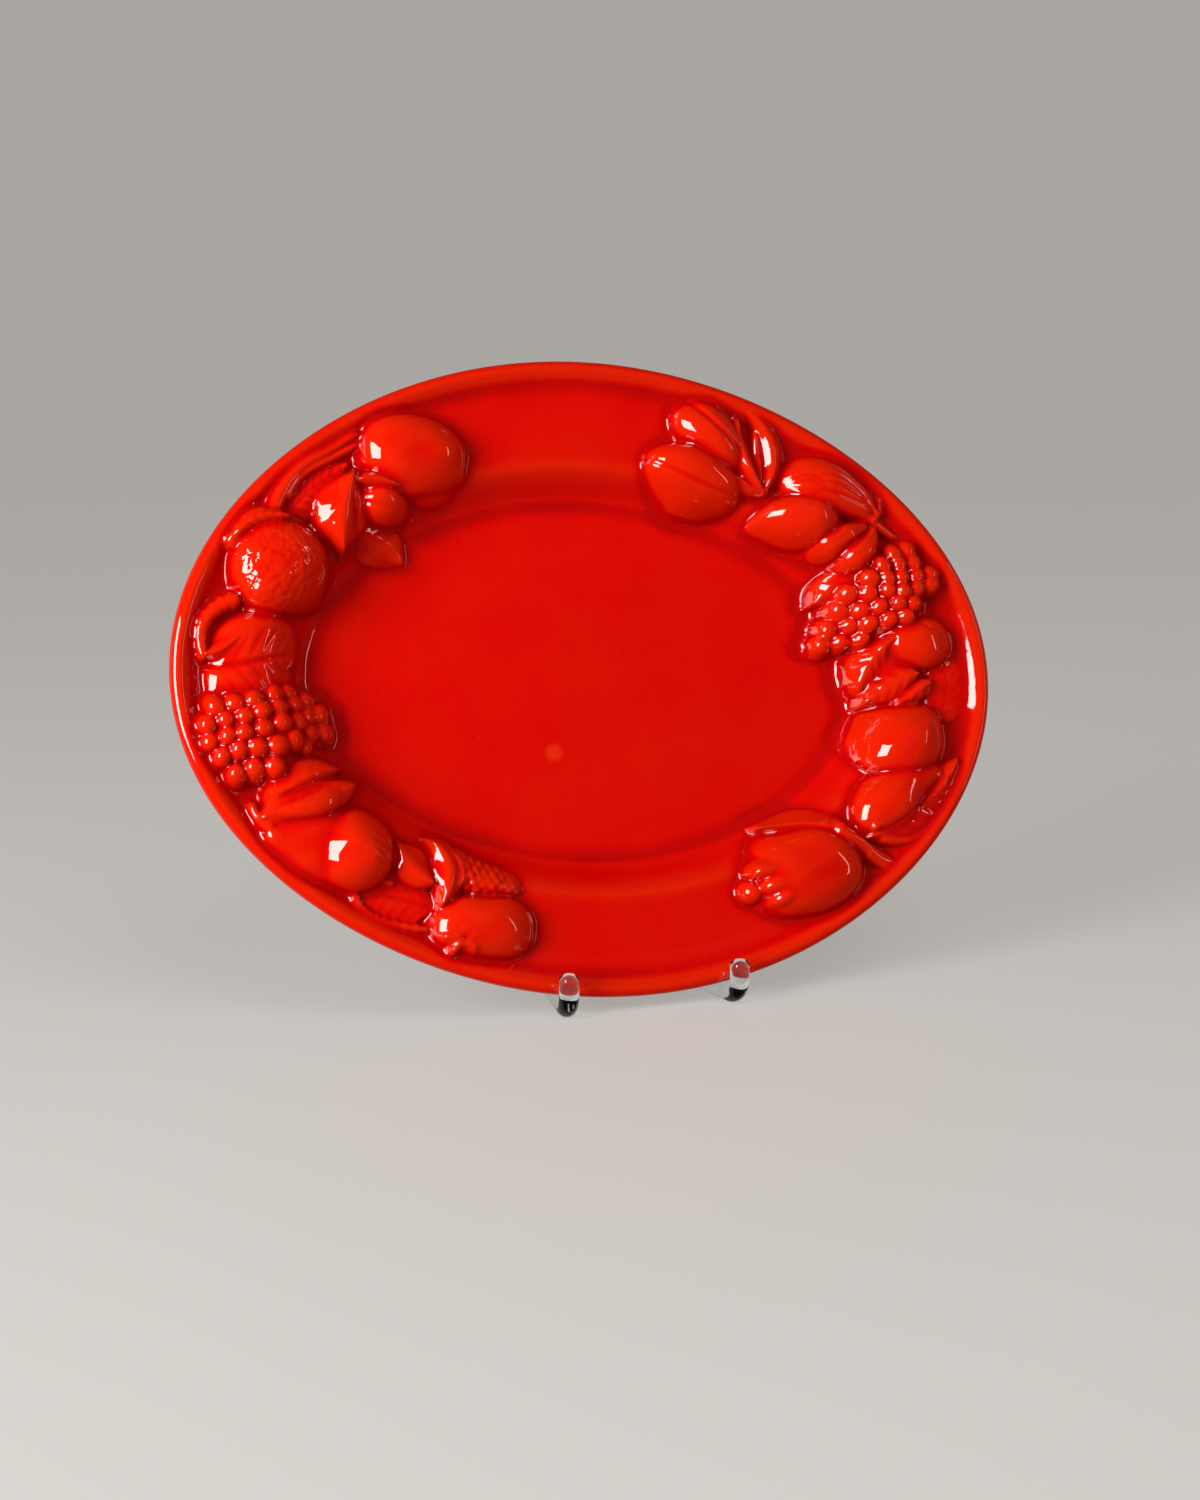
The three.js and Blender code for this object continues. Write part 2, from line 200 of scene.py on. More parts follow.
# Clear plastic of the stand
CLEAR_COLOUR = (0.96, 0.98, 0.98, 1)
CLEAR_IOR = 1.49
CLEAR_ROUGHNESS = (0.01, 0.05)
HAZE_SCALE = 140.0
HAZE_DETAIL = 2.0

# Plate's place: its middle lies to the left of the stand's middle, behind the hooks
STAND_OFFSET = 11.3
PLATE_BACK = 43.6
PLATE_UP = 156.0

# Stand: two bent rods with hook, ground arm and strut, and two bars across them
ROD_RADIUS = 4.75
HOOK_SPREAD = 42.8
HOOK_HEIGHT = 23.0
HOOK_BEND = 9.0
REAR_BEND = 14.0
REAR_CORNER = 122.7
STRUT_LEAN = math.radians(19.7)
STRUT_LENGTH = 138.2
TOE_IN = math.radians(7.5)
DOME_FLATTEN = (0.7, 1.0)
DOME_END = 86
ROD_SIDES = 28
BEND_STEPS = 14
DOME_STEPS = 7
SIDEWAYS = 0.9
BAR_SHARE = 0.96
FUSED = 0.15

# Stage, metres: a floor and a round backdrop, both a little luminous so that they stay pale far off
PALE = (0.42, 0.405, 0.38, 1)
FLOOR_HALF = 20
FLOOR_COLOUR = (0.19, 0.185, 0.177, 1)
FLOOR_ROUGHNESS = 0.7
FLOOR_GLOW = 0.85
BACKDROP_RADIUS = 17.0
BACKDROP_HEIGHT = 16.0
BACKDROP_SIDES = 96
BACKDROP_COLOUR = (0, 0, 0, 1)
BACKDROP_ROUGHNESS = 1.0
BACKDROP_GLOW = 0.95

# Lights: place from the plate's middle and size in metres, power in watts
WINDOW_PLACE = (-1.39, -0.80, 0.38)
WINDOW_SIZE = (0.7, 1.04)
WINDOW_POWER = 54
STRIP_PLACE = (1.42, -1.0, 0.35)
STRIP_SIZE = (0.08, 0.9)
STRIP_POWER = 1.6
OVERHEAD_PLACE = (0.2, -1.3, 1.3)
OVERHEAD_SIZE = (1.2, 1.2)
OVERHEAD_POWER = 21

# Surroundings: dim in front of the plate and overhead, pale behind it
FRONT_COLOUR = (0.06, 0.046, 0.036, 1)
BEHIND_COLOUR = (0.40, 0.386, 0.362, 1)
BEHIND_FROM = 0.35
ABOVE_COLOUR = (0.045, 0.04, 0.032, 1)
ABOVE_RANGE = (0.2, 0.7)

# Camera, left of the plate's front and a little above it
VIEW_AROUND = math.radians(19)
VIEW_DOWN = math.radians(9.54)
CAMERA_FROM_PLATE = Vector((-0.3932, -1.1381, 0.1661))
LENS = 61.2
SENSOR_WIDTH = 36

# One seeded source of chance, so that every run draws the same plate
SEED = 5
chance = np.random.default_rng(SEED)


def smooth_max(a, b, soft):
    """The higher of two surfaces, with a rounded valley where they meet."""
    share = np.clip(0.5 + 0.5 * (a - b) / soft, 0, 1)
    return b + (a - b) * share + soft * share * (1 - share)


def cap(q, rise, full=FULLNESS):
    """Height of a pillowed dome at relative radius q, drawn on down as a straight draft."""
    inner = (1 - np.minimum(q, DRAFT_AT) ** full) ** (1 / full)
    slope = (DRAFT_AT / (1 - DRAFT_AT ** full) ** (1 / full)) ** (full - 1)
    return rise * (inner - slope * np.maximum(q - DRAFT_AT, 0))


def bump(x, width):
    """Bell curve of unit height."""
    return np.exp(-(x / width) ** 2)


def spread(field, axis, reach):
    """Even average over a window along one axis."""
    ends = [(0, 0), (0, 0)]
    ends[axis] = (reach + 1, reach)
    total = np.cumsum(np.pad(field, ends, "edge"), axis)
    size = field.shape[axis]
    window = 2 * reach + 1
    high = np.take(total, np.arange(window, window + size), axis)
    low = np.take(total, np.arange(size), axis)
    return (high - low) / window


class Relief:
    """Heights of the fruit and leaves over the plane of the rim, on an even grid."""

    def __init__(self):
        self.u0 = -HALF_LENGTH - GRID_MARGIN
        self.v0 = -HALF_HEIGHT - GRID_MARGIN
        across = int(-2 * self.u0 / GRID_STEP) + 1
        up = int(-2 * self.v0 / GRID_STEP) + 1
        self.u = self.u0 + np.arange(across) * GRID_STEP
        self.v = self.v0 + np.arange(up) * GRID_STEP
        self.height = np.full((up, across), DEEP)
        self.pitted = np.zeros((up, across))

    def patch(self, points, margin):
        """The part of the grid within a margin of some points, and its places."""
        points = np.asarray(points, float)
        lo = points.min(0) - margin
        hi = points.max(0) + margin
        rows = slice(*np.searchsorted(self.v, (lo[1], hi[1])))
        columns = slice(*np.searchsorted(self.u, (lo[0], hi[0])))
        u, v = np.meshgrid(self.u[columns], self.v[rows])
        return (rows, columns), u, v

    def lay(self, where, height, soft):
        """A form laid over what is there."""
        self.height[where] = smooth_max(height, self.height[where], soft)

    def fill_gaps(self):
        """Clay and glaze that bridge the narrow gaps between neighbouring fruit."""
        level = np.maximum(self.height, FLANGE)
        for axis in (0, 1) * FILL_ROUNDS:
            level = spread(level, axis, int(FILL_REACH / GRID_STEP))
        self.height = smooth_max(self.height, level - FILL_DEPTH, GLAZE_FILL)

    def sample(self, field, u, v):
        """Values of a field between the grid's points."""
        x = (u - self.u0) / GRID_STEP
        y = (v - self.v0) / GRID_STEP
        i = np.clip(x.astype(int), 0, len(self.u) - 2)
        j = np.clip(y.astype(int), 0, len(self.v) - 2)
        x = x - i
        y = y - j
        low = field[j, i] * (1 - x) + field[j, i + 1] * x
        high = field[j + 1, i] * (1 - x) + field[j + 1, i + 1] * x
        return low * (1 - y) + high * y


def turned(u, v, at, turn):
    """Grid places as seen along and across a turned axis through a point."""
    c = math.cos(math.radians(turn))
    s = math.sin(math.radians(turn))
    x = u - at[0]
    y = v - at[1]
    return x * c + y * s, y * c - x * s


def spine(u, v, path):
    """Share along a bending line, signed distance to its left, overrun past its ends, and its length."""
    a, b, c = (np.asarray(p, float) for p in path)
    t = np.linspace(0, 1, SPINE_STEPS + 1)[:, None]
    points = a * (1 - t) ** 2 + 2 * b * t * (1 - t) + c * t ** 2
    steps = np.diff(points, axis=0)
    best = np.full(u.shape, np.inf)
    along, side, over = np.zeros((3, *u.shape))
    for k, (p, d) in enumerate(zip(points, steps)):
        size = np.hypot(*d)
        raw = ((u - p[0]) * d[0] + (v - p[1]) * d[1]) / size ** 2
        inside = np.clip(raw, 0, 1)
        away = np.hypot(u - p[0] - inside * d[0], v - p[1] - inside * d[1])
        near = away < best
        best = np.where(near, away, best)
        along = np.where(near, (k + inside) / SPINE_STEPS, along)
        left = ((v - p[1]) * d[0] - (u - p[0]) * d[1]) / size
        side = np.where(near, left, side)
        ends = (k == 0) * np.maximum(-raw, 0) + (k == SPINE_STEPS - 1) * np.maximum(raw - 1, 0)
        over = np.where(near, ends * size, over)
    length = np.hypot(steps[:, 0], steps[:, 1]).sum()
    return along, side, over, length


def eased(along, values):
    """Smooth curve through values given at even steps."""
    values = np.asarray(values, float)
    slopes = np.gradient(values)
    k = np.clip((along * (len(values) - 1)).astype(int), 0, len(values) - 2)
    t = along * (len(values) - 1) - k
    rest = 1 - t
    ends = values[k] * (1 + 2 * t) * rest ** 2 + values[k + 1] * (3 - 2 * t) * t ** 2
    return ends + slopes[k] * t * rest ** 2 - slopes[k + 1] * t ** 2 * rest


def round_fruit(relief, at, half, turn=0, top=8, base=-9, dimple=None, furrow=None, soft=GLAZE_FILL,
                pits=0, square=2.0, full=FULLNESS):
    """A ball pressed into the clay, with an optional stalk dimple, furrow along its axis or pitted peel."""
    where, u, v = relief.patch([at], max(half) * FRUIT_PATCH)
    x, y = turned(u, v, at, turn)
    q = (np.abs(x / half[0]) ** square + np.abs(y / half[1]) ** square) ** (1 / square)
    height = base + cap(q, STANDING * (top - base), full)
    if dimple:
        (du, dv), width, depth = dimple
        height = height - depth * bump(np.hypot(x - du, y - dv), width)
    if furrow:
        offset, bend, width, depth = furrow
        height = height - depth * bump(y - offset - bend * (x / half[0]) ** 2, width)
    for _ in range(pits):
        away = chance.uniform(0, 1) ** 0.5
        angle = chance.uniform(0, 2 * math.pi)
        depth = chance.uniform(PIT_LEAST, PIT_DEPTH)
        pit = np.hypot(x - half[0] * away * math.cos(angle), y - half[1] * away * math.sin(angle))
        height = height - depth * bump(pit, PIT_WIDTH)
    relief.lay(where, height, soft)
    if pits:
        peel = np.clip(PEEL_FADE * (1 - q), 0, 1)
        relief.pitted[where] = np.maximum(relief.pitted[where], peel)


def long_fruit(relief, path, widths, tops, base=-9, soft=GLAZE_FILL):
    """A pear, nut or bud: half width and crest height given at even steps along its axis."""
    where, u, v = relief.patch(path, max(widths) * LONG_PATCH)
    along, side, over, length = spine(u, v, path)
    width = eased(along, widths)
    rise = STANDING * (eased(along, tops) - base)
    ends = np.minimum(along, 1 - along) * length
    blunt = np.sqrt(np.clip(1 - (1 - np.clip(ends / width, 0, 1)) ** 2, LEAST_BLUNT, 1))
    q = np.hypot(side / (width * blunt), over / END_REACH)
    relief.lay(where, base + cap(q, rise * blunt), soft)


def leaf(relief, path, half, rib, edge, point=0.75, fullest=0.5, cup=0.0, groove=0.7, veins=0.2,
         vein_gap=6.0, teeth=0.0, teeth_gap=6.0, soft=0.8):
    """A leaf: high along its midrib, veined, with a sharp edge that may be toothed or cupped."""
    where, u, v = relief.patch(path, half * LEAF_PATCH)
    along, side, over, length = spine(u, v, path)
    share = np.clip(along, LEAF_TIP, 1 - LEAF_TIP) ** (math.log(0.5) / math.log(fullest))
    width = half * np.sin(math.pi * share) ** point
    width = width * (1 + teeth * np.abs(np.sin(math.pi * along * length / teeth_gap)))
    width = np.maximum(width, LEAST_LEAF)
    s = np.clip(np.abs(side) / width, 0, 1)
    height = edge + (rib - edge) * (1 - s) ** LEAF_FALL + cup * s ** 2
    height = height - groove * bump(side, MIDRIB_WIDTH)
    slant = along * length - VEIN_SLANT * np.abs(side)
    height = height + veins * np.cos(2 * math.pi * slant / vein_gap) * np.sin(math.pi * s) ** VEIN_FADE
    beyond = np.maximum(np.abs(side) - width, 0) + over
    relief.lay(where, height - EDGE_DRAFT * beyond, soft)


def stalk(relief, path, thick, top, end=None, soft=GLAZE_FILL, teeth=0.0):
    """A round stalk, twig or rolled leaf edge, tapering to its end."""
    where, u, v = relief.patch(path, thick * STALK_PATCH)
    along, side, over, length = spine(u, v, path)
    width = thick * (1 - STALK_TAPER * along)
    width = width * (1 + teeth * np.sin(2 * math.pi * along * length / TEETH_GAP))
    if end is None:
        end = top
    crest = top + (end - top) * along
    q = np.hypot(side, over) / width
    relief.lay(where, crest - width + cap(q, width), soft)


def crease(relief, path, width, depth):
    """A groove drawn along a line, fading at its ends."""
    where, u, v = relief.patch(path, width * CREASE_PATCH)
    along, side, over, _ = spine(u, v, path)
    fade = np.sqrt(np.sin(math.pi * np.clip(along, *CREASE_ENDS)))
    relief.height[where] -= depth * bump(np.hypot(side, over), width) * fade


def berry_drupes(relief, start, end, across, along, size, rise):
    """The small beads of a long berry, in staggered rows."""
    a = np.asarray(start, float)
    b = np.asarray(end, float)
    aside = np.array([a[1] - b[1], b[0] - a[0]]) / np.hypot(*(b - a))
    for i in range(along):
        for j in range(across):
            row = j - (across - 1) / 2
            share = (i + 0.5 * (j % 2)) / along
            narrow = 1 - BERRY_TAPER * share
            at = a + (b - a) * share + aside * row * BEAD_GAP * narrow
            top = BERRY_CROWN - BERRY_FALL * share * share - BERRY_ROUNDING * row * row
            top = top + chance.uniform(-BEAD_STRAY, BEAD_STRAY)
            round_fruit(relief, at, (size, size), 0, top, top - rise * BEAD_SINK, soft=BEAD_FILL)


def bunch(relief, rows, step, size, middle, reach, crown, fall):
    """Grapes in rows: each row gives the place of its first grape and the number of grapes in it."""
    for start_u, start_v, count in rows:
        for k in range(count):
            astray = chance.uniform(-GRAPE_STRAY, GRAPE_STRAY, 3)
            at = (start_u + k * step[0] + astray[0], start_v + k * step[1] + astray[1])
            far = math.hypot((at[0] - middle[0]) / reach[0], (at[1] - middle[1]) / reach[1])
            top = crown - fall * far * far + astray[2]
            low = top - size * GRAPE_SINK
            round_fruit(relief, at, (size, size), 0, top + GRAPE_RISE, low, soft=BEAD_FILL)


def smoothed_section(section, softness=SECTION_SOFTNESS, step=SECTION_STEP):
    """A section as even samples with its corners eased."""
    d = np.arange(section[0][0], section[-1][0] + step, step)
    w = np.interp(d, *zip(*section))
    reach = int(SECTION_REACH * softness / step)
    kernel = bump(np.arange(-reach, reach + 1) * step, softness * math.sqrt(2))
    padded = np.concatenate([2 * w[0] - w[reach:0:-1], w, 2 * w[-1] - w[-2:-reach - 2:-1]])
    return d, np.convolve(padded, kernel / kernel.sum(), "valid")


def oval(inward, angle):
    """Places round the oval at an inward distance: the flange keeps its width, the floor its shape."""
    wavered = 1 + WAVER * np.cos(WAVES * (angle - WAVER_TURN))
    reach = HALF_LENGTH - inward
    rise = np.where(inward < FLOOR_EDGE, HALF_HEIGHT - inward,
                    reach * (HALF_HEIGHT - FLOOR_EDGE) / (HALF_LENGTH - FLOOR_EDGE))
    return reach * wavered * np.cos(angle), rise * wavered * np.sin(angle)


def arc_angles():
    """Angles round the plate: points close together along the fruit, wider apart in the plain stretches."""
    angles = []
    for k, (start, end) in enumerate(FRUIT_ARCS):
        following = FRUIT_ARCS[(k + 1) % 2][0] + (2 * math.pi if k else 0)
        for low, high, step in ((start, end, FRUIT_STEP), (end, following, PLAIN_STEP)):
            trial = np.linspace(low, high, TRIAL_STEPS)
            u, v = oval(np.full_like(trial, MIDDLE_OF_BORDER), trial)
            run = np.concatenate([[0], np.cumsum(np.hypot(np.diff(u), np.diff(v)))])
            count = COARSER * math.ceil(run[-1] / step / COARSER)
            angles.append(np.interp(run[-1] * np.arange(count) / count, run, trial))
    return np.concatenate(angles)


def wander(u, v):
    """Slow uneven drift both ways, as of clay pressed by hand: two crossing waves each."""
    first = np.sin(0.13 * u + 0.07 * v + 1.3) + 0.6 * np.sin(0.11 * v - 0.18 * u + 0.4)
    second = np.sin(0.12 * v - 0.08 * u + 2.1) + 0.6 * np.sin(0.19 * u + 0.10 * v + 4.0)
    return first, second


def blurred(field, width):
    """Even blur of the ring and angle lattice, wrapped round the plate."""
    total = sum(np.roll(field, k, 1) for k in range(-width, width + 1)) / (2 * width + 1)
    padded = np.pad(total, ((width, width), (0, 0)), "edge")
    return sum(padded[k:k + len(field)] for k in range(2 * width + 1)) / (2 * width + 1)


def ring_points(distances, heights, angles):
    """Rings of points round the oval, each at its inward distance and its height."""
    u, v = oval(*np.meshgrid(distances, angles, indexing="ij"))
    return np.stack([u, v, np.repeat(heights[:, None], len(angles), 1)], -1)


def border_rings(relief, angles):
    """The fine rings of the border with its relief and rim, and the crest and peel value of each point."""
    fine_d = np.concatenate([np.arange(*zone) for zone in RING_ZONES])[::-1]
    inward, angle = np.meshgrid(fine_d, angles, indexing="ij")
    u, v = oval(inward, angle)
    plain = np.interp(inward, *smoothed_section(FRONT_SECTION))
    lie = np.interp(inward, *smoothed_section(FRONT_SECTION, LIE_SOFTNESS))
    lie = np.minimum(lie - FLANGE, 0)
    drift_u, drift_v = wander(u, v)
    drawn_u = u + OUTLINE_DRIFT * drift_u
    drawn_v = v + OUTLINE_DRIFT * drift_v
    stamped = relief.sample(relief.height, drawn_u, drawn_v)
    stamped = stamped + HEIGHT_DRIFT * wander(HEIGHT_DRIFT_SCALE * v, HEIGHT_DRIFT_SCALE * u)[0]
    w = smooth_max(stamped + lie, plain, GLAZE_FILL)
    pitted = relief.sample(relief.pitted, drawn_u, drawn_v)
    # Crest: height above the blurred surface round it; in the glaze colour it paints light on crests and
    # shade in hollows
    crest = w - blurred(blurred(w, CREST_BLUR), CREST_BLUR)
    crest = np.where(crest < 0, HOLLOW_SHARE, 1) * crest
    rim = np.radians(np.linspace(90, -90, RIM_STEPS + 1)[1:])
    rim_rows = ring_points(RIM_RADIUS * (1 - np.cos(rim)), RIM_RADIUS * (np.sin(rim) - 1), angles)
    fine = np.concatenate([np.stack([u, v, w], -1), rim_rows])
    crest = np.concatenate([crest, np.full((len(rim), len(angles)), RIM_CREST)])
    pitted = np.concatenate([pitted, np.zeros((len(rim), len(angles)))])
    return fine, crest, pitted


class Skin:
    """Points and faces of a closed mesh, gathered ring by ring."""

    def __init__(self):
        self.points = []
        self.faces = []
        self.count = 0

    def add(self, rows):
        """Rings of points added, with the number of each point given back."""
        ids = self.count + np.arange(rows.shape[0] * rows.shape[1]).reshape(rows.shape[:2])
        self.points.append(rows.reshape(-1, 3))
        self.count += ids.size
        return ids

    def quads(self, ids):
        """Faces between rings that follow one another."""
        after = np.roll(ids, -1, 1)
        block = np.stack([ids[:-1], ids[1:], after[1:], after[:-1]], -1).reshape(-1, 4)
        self.faces.extend(block.tolist())

    def join(self, many, one, outward):
        """One ring of many points stitched to a ring with a quarter of them."""
        for k in range(len(one)):
            run = [int(many[(k * COARSER + j) % len(many)]) for j in range(COARSER + 1)]
            pair = [int(one[k]), int(one[(k + 1) % len(one)])]
            self.faces.append(run + pair[::-1] if outward else pair + run[::-1])

    def close(self, ring, height, outward):
        """A ring closed by a fan round a middle point at a height."""
        centre = int(self.add(np.array([[[0, 0, height]]], float))[0, 0])
        for k in range(len(ring)):
            pair = [int(ring[k]), int(ring[(k + 1) % len(ring)])]
            self.faces.append(pair + [centre] if outward else pair[::-1] + [centre])


def plate_mesh(relief):
    """The whole plate as one closed skin: fine rings over the border, coarser ones on floor and back."""
    angles = arc_angles()
    few = angles[::COARSER]
    fine, crest, pitted = border_rings(relief, angles)
    d_front, w_front = smoothed_section(FRONT_SECTION)
    d_back, w_back = smoothed_section(BACK_SECTION)
    floor_d = HALF_LENGTH - (HALF_LENGTH - RING_ZONES[-1][1]) * FLOOR_SHARES
    inner_d = HALF_LENGTH - (HALF_LENGTH - BACK_RINGS[-1]) * BACK_SHARES
    under_d = np.concatenate([BACK_RINGS, inner_d])
    skin = Skin()
    floor_ids = skin.add(ring_points(floor_d, np.interp(floor_d, d_front, w_front), few))
    fine_ids = skin.add(fine)
    under_ids = skin.add(ring_points(under_d, np.interp(under_d, d_back, w_back), few))
    for ids in (floor_ids, fine_ids, under_ids):
        skin.quads(ids)
    skin.join(fine_ids[0], floor_ids[-1], True)
    skin.join(fine_ids[-1], under_ids[0], False)
    skin.close(floor_ids[0], w_front[-1], True)
    skin.close(under_ids[-1], BACK, False)
    values = np.zeros((skin.count, 2))
    values[fine_ids.ravel(), 0] = crest.ravel()
    values[fine_ids.ravel(), 1] = pitted.ravel()
    return np.concatenate(skin.points), skin.faces, values


def new_piece(name, points, faces, material, node):
    """A smooth-shaded mesh that stands for a node of the frame."""
    mesh = bpy.data.meshes.new(name)
    mesh.from_pydata(points.tolist(), [], faces)
    mesh.update()
    mesh.shade_smooth()
    piece = bpy.data.objects.new(name, mesh)
    bpy.context.scene.collection.objects.link(piece)
    mesh.materials.append(material)
    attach(piece, "root")
    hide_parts(node)
    return piece


def nodes_of(name):
    """A new material, its node tree and its main shader."""
    material = bpy.data.materials.new(name)
    material.use_nodes = True
    tree = material.node_tree
    return material, tree, tree.nodes["Principled BSDF"]


def add_node(tree, kind, links=(), **settings):
    """A node with its settings made and its sockets linked to outputs or filled with constants."""
    node = tree.nodes.new(kind)
    for key, value in settings.items():
        setattr(node, key, value)
    for socket, source in links:
        if hasattr(source, "links"):
            tree.links.new(source, node.inputs[socket])
        else:
            node.inputs[socket].default_value = source
    return node


def noise(tree, place, scale, detail):
    """Cloudy noise between 0 and 1."""
    links = [("Vector", place), ("Scale", scale), ("Detail", detail)]
    return add_node(tree, "ShaderNodeTexNoise", links).outputs["Fac"]


def ranged(tree, value, source, target=(0.0, 1.0)):
    """A value carried over from one range to another."""
    links = [("Value", value), ("From Min", source[0]), ("From Max", source[1])]
    links += [("To Min", target[0]), ("To Max", target[1])]
    return add_node(tree, "ShaderNodeMapRange", links).outputs["Result"]


def combined(tree, operation, *values):
    """Values put together by one operation."""
    return add_node(tree, "ShaderNodeMath", enumerate(values), operation=operation).outputs[0]


def glaze_colour(tree, place, cloud, reflection_at):
    """Colour of the glaze: by crest and hollow, with painted light on crests and painted shade in hollows,
    clouded, grained and specked, with one pale spot of painted reflection.
    """
    crest = add_node(tree, "ShaderNodeAttribute", attribute_name="crest").outputs["Fac"]
    shifted = combined(tree, "MULTIPLY_ADD", cloud, CLOUD_SHARE, crest)
    grain = noise(tree, place, GRAIN_SCALE, GRAIN_DETAIL)
    grained = combined(tree, "MULTIPLY_ADD", grain, GRAIN_SHARE, shifted)
    speck = noise(tree, place, SPECK_SCALE, SPECK_DETAIL)
    specked = combined(tree, "ADD", grained, ranged(tree, speck, SPECK_RANGE, (0.0, SPECK_SHARE)))
    ramp = add_node(tree, "ShaderNodeValToRGB", [("Fac", specked)])
    stops = ramp.color_ramp.elements
    # Painted shade and light: darker red where the glaze pools in hollows, lighter orange red over crests
    stops[0].color = POOLED_SHADED
    stops[1].color = THIN_LIT
    stops[1].position = THIN_LIT_AT
    stops.new(EVEN_AT).color = EVEN
    # Painted reflection: a pale spot at one place on the well floor
    far = add_node(tree, "ShaderNodeVectorMath", [(0, place), (1, reflection_at)], operation="DISTANCE")
    spot = ranged(tree, far.outputs["Value"], (PAINTED_REFLECTION_RADIUS, PAINTED_REFLECTION_RADIUS * PAINTED_REFLECTION_CORE))
    links = [("Factor", spot), ("A", ramp.outputs["Color"]), ("B", PAINTED_REFLECTION)]
    return add_node(tree, "ShaderNodeMix", links, data_type="RGBA").outputs["Result"]


def glaze_normal(tree, place):
    """Surface of the glaze: soft waves all over, and pits in the peel."""
    wave = noise(tree, place, WAVE_SCALE, WAVE_DETAIL)
    links = [("Height", wave), ("Strength", WAVE_STRENGTH), ("Distance", WAVE_HEIGHT)]
    soft = add_node(tree, "ShaderNodeBump", links).outputs["Normal"]
    peel = add_node(tree, "ShaderNodeTexVoronoi", [("Vector", place), ("Scale", PEEL_SCALE)])
    mask = add_node(tree, "ShaderNodeAttribute", attribute_name="pitted").outputs["Fac"]
    pits = combined(tree, "MULTIPLY", peel.outputs["Distance"], mask)
    links = [("Height", pits), ("Strength", PEEL_STRENGTH), ("Distance", PEEL_HEIGHT), ("Normal", soft)]
    return add_node(tree, "ShaderNodeBump", links).outputs["Normal"]


def glaze_material(reflection_at):
    """Glossy red glaze, deeper where it pools and painted darker there as shade, painted lighter over
    crests as light, with a faintly uneven surface and pitted peel.
    """
    material, tree, shader = nodes_of("red_glaze")
    place = add_node(tree, "ShaderNodeTexCoord").outputs["Object"]
    cloud = noise(tree, place, CLOUD_SCALE, CLOUD_DETAIL)
    rough = ranged(tree, cloud, (0.0, 1.0), GLAZE_ROUGHNESS)
    tree.links.new(glaze_colour(tree, place, cloud, reflection_at), shader.inputs["Base Color"])
    tree.links.new(rough, shader.inputs["Roughness"])
    tree.links.new(glaze_normal(tree, place), shader.inputs["Normal"])
    shader.inputs["IOR"].default_value = GLAZE_IOR
    shader.inputs["Specular IOR Level"].default_value = GLAZE_SPECULAR
    shader.inputs["Specular Tint"].default_value = GLAZE_TINT
    return material


def clear_material():
    """Clear polished plastic with a faintly uneven gloss."""
    material, tree, shader = nodes_of("clear_plastic")
    shader.inputs["Base Color"].default_value = CLEAR_COLOUR
    shader.inputs["Transmission Weight"].default_value = 1.0
    shader.inputs["IOR"].default_value = CLEAR_IOR
    place = add_node(tree, "ShaderNodeTexCoord").outputs["Object"]
    haze = noise(tree, place, HAZE_SCALE, HAZE_DETAIL)
    rough = ranged(tree, haze, (0.0, 1.0), CLEAR_ROUGHNESS)
    tree.links.new(rough, shader.inputs["Roughness"])
    return material


def pale_material(name, colour, roughness, glow):
    """A dull surface of the stage that shines a little by itself."""
    material, _, shader = nodes_of(name)
    shader.inputs["Base Color"].default_value = colour
    shader.inputs["Roughness"].default_value = roughness
    shader.inputs["Emission Color"].default_value = PALE
    shader.inputs["Emission Strength"].default_value = glow
    return material


def bend_points(back, up, radius, start, sweep):
    """Points of a bend in the rod's upright plane, round a centre."""
    angles = start + sweep * np.arange(BEND_STEPS + 1) / BEND_STEPS
    level = np.zeros_like(angles)
    return np.stack([level, back + radius * np.cos(angles), up + radius * np.sin(angles)], -1)


def swept(line, radii):
    """A round skin along a line, with a radius for each point, closed at both ends."""
    ahead = np.gradient(line, axis=0)
    ahead[0] = line[1] - line[0]
    ahead[-1] = line[-1] - line[-2]
    ahead /= np.linalg.norm(ahead, axis=1, keepdims=True)
    across = np.array([1.0, 0, 0]) if abs(ahead[0][0]) < SIDEWAYS else np.array([0, 1.0, 0])
    turn = np.arange(ROD_SIDES) * 2 * math.pi / ROD_SIDES
    rows = []
    for p, a, r in zip(line, ahead, radii):
        other = np.cross(a, across)
        other /= np.linalg.norm(other)
        first = np.cross(other, a)
        rows.append(p + r * (np.cos(turn)[:, None] * first + np.sin(turn)[:, None] * other))
    ids = np.arange(len(rows) * ROD_SIDES).reshape(len(rows), ROD_SIDES)
    after = np.roll(ids, -1, 1)
    faces = np.stack([ids[:-1], after[:-1], after[1:], ids[1:]], -1).reshape(-1, 4).tolist()
    faces += [ids[0][::-1].tolist(), ids[-1].tolist()]
    return np.concatenate(rows), faces


def domed(line):
    """A rod's line with a rounded end added at each end, and the radius at each of its points."""
    first = (line[0] - line[1]) / np.linalg.norm(line[0] - line[1])
    last = (line[-1] - line[-2]) / np.linalg.norm(line[-1] - line[-2])
    rise = np.radians(np.linspace(0, DOME_END, DOME_STEPS + 1))[1:]
    begin = [line[0] + first * ROD_RADIUS * DOME_FLATTEN[0] * math.sin(a) for a in rise[::-1]]
    finish = [line[-1] + last * ROD_RADIUS * DOME_FLATTEN[1] * math.sin(a) for a in rise]
    narrowing = ROD_RADIUS * np.cos(rise)
    radii = np.concatenate([narrowing[::-1], np.full(len(line), ROD_RADIUS), narrowing])
    return np.concatenate([begin, line, finish]), radii


